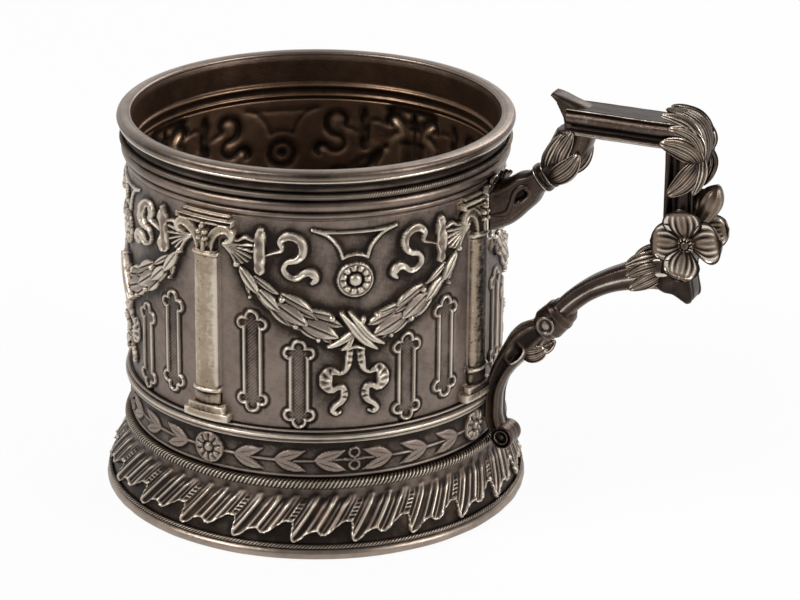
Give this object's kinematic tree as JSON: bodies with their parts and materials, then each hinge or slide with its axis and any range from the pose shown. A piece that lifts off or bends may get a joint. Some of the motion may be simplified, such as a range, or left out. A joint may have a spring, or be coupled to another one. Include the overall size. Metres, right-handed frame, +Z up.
{
  "type": "tea glass holder",
  "caption": "Silver tea glass holder with a columned and garlanded relief wall, a spreading pleated foot and an angular handle set with leaves and a flower.",
  "frame": {"origin": "on the table plane, under the middle of the body, at the centre of the recess inside the foot ring", "axes": "+Z up and out of the mouth, +X from the body towards the handle"},
  "size_m": [0.1266, 0.0848, 0.0873],
  "materials": {
    "wall_silver": "oxidised silver, grey-brown in the hollows, satin",
    "relief_silver": "oxidised silver with rubbed bright edges",
    "column_silver": "rubbed silver, lighter than the wall, with dark pits",
    "lip_silver": "worn polished silver with dark streaks",
    "rope_silver": "twisted silver wire, dark between the strands",
    "foot_silver": "oxidised silver, dark, with bright folds",
    "floor_silver": "tarnished silver, brown",
    "handle_silver": "cast silver, dark patina with polished ridges",
    "leaf_silver": "cast and chased silver, dark veins and bright edges"
  },
  "bodies": {
    "root": {"wall_shell": "wall_silver", "mouth_rim": "lip_silver", "neck_moulding": "wall_silver", "upper_rope_wire": "rope_silver", "ledge_moulding": "wall_silver", "lower_rope_wire": "rope_silver", "foot_flare": "foot_silver", "foot_ruffle": "foot_silver", "foot_bead_wire": "rope_silver", "foot_ring": "lip_silver", "floor_plate": "floor_silver", "handle_socket": "handle_silver", "socket_drop": "leaf_silver", "handle_neck": "handle_silver", "neck_collar": "handle_silver", "riser": "handle_silver", "riser_leaves": "leaf_silver", "thumb_spur": "handle_silver", "top_bar": "handle_silver", "corner_leaves": "leaf_silver", "upright": "handle_silver", "bud": "leaf_silver", "flower_petals": "leaf_silver", "flower_bosses": "leaf_silver", "lower_corner": "handle_silver", "lower_arm": "handle_silver", "arm_leaves": "leaf_silver", "knot_collar": "handle_silver", "lower_leg": "handle_silver", "leg_leaves": "leaf_silver", "foot_scroll": "handle_silver", "column_1": "column_silver", "column_2": "column_silver", "column_3": "column_silver", "column_4": "column_silver", "capital_1": "column_silver", "capital_2": "column_silver", "capital_3": "column_silver", "capital_4": "column_silver", "garland_1": "relief_silver", "garland_2": "relief_silver", "garland_3": "relief_silver", "garland_4": "relief_silver", "ribbons_1": "relief_silver", "ribbons_2": "relief_silver", "ribbons_3": "relief_silver", "ribbons_4": "relief_silver", "crest_1": "relief_silver", "crest_2": "relief_silver", "crest_3": "relief_silver", "crest_4": "relief_silver", "lancets_1": "relief_silver", "lancets_2": "relief_silver", "lancets_3": "relief_silver", "lancets_4": "relief_silver", "laurel_1": "relief_silver", "laurel_2": "relief_silver", "laurel_3": "relief_silver", "laurel_4": "relief_silver"}
  },
  "joints": []
}
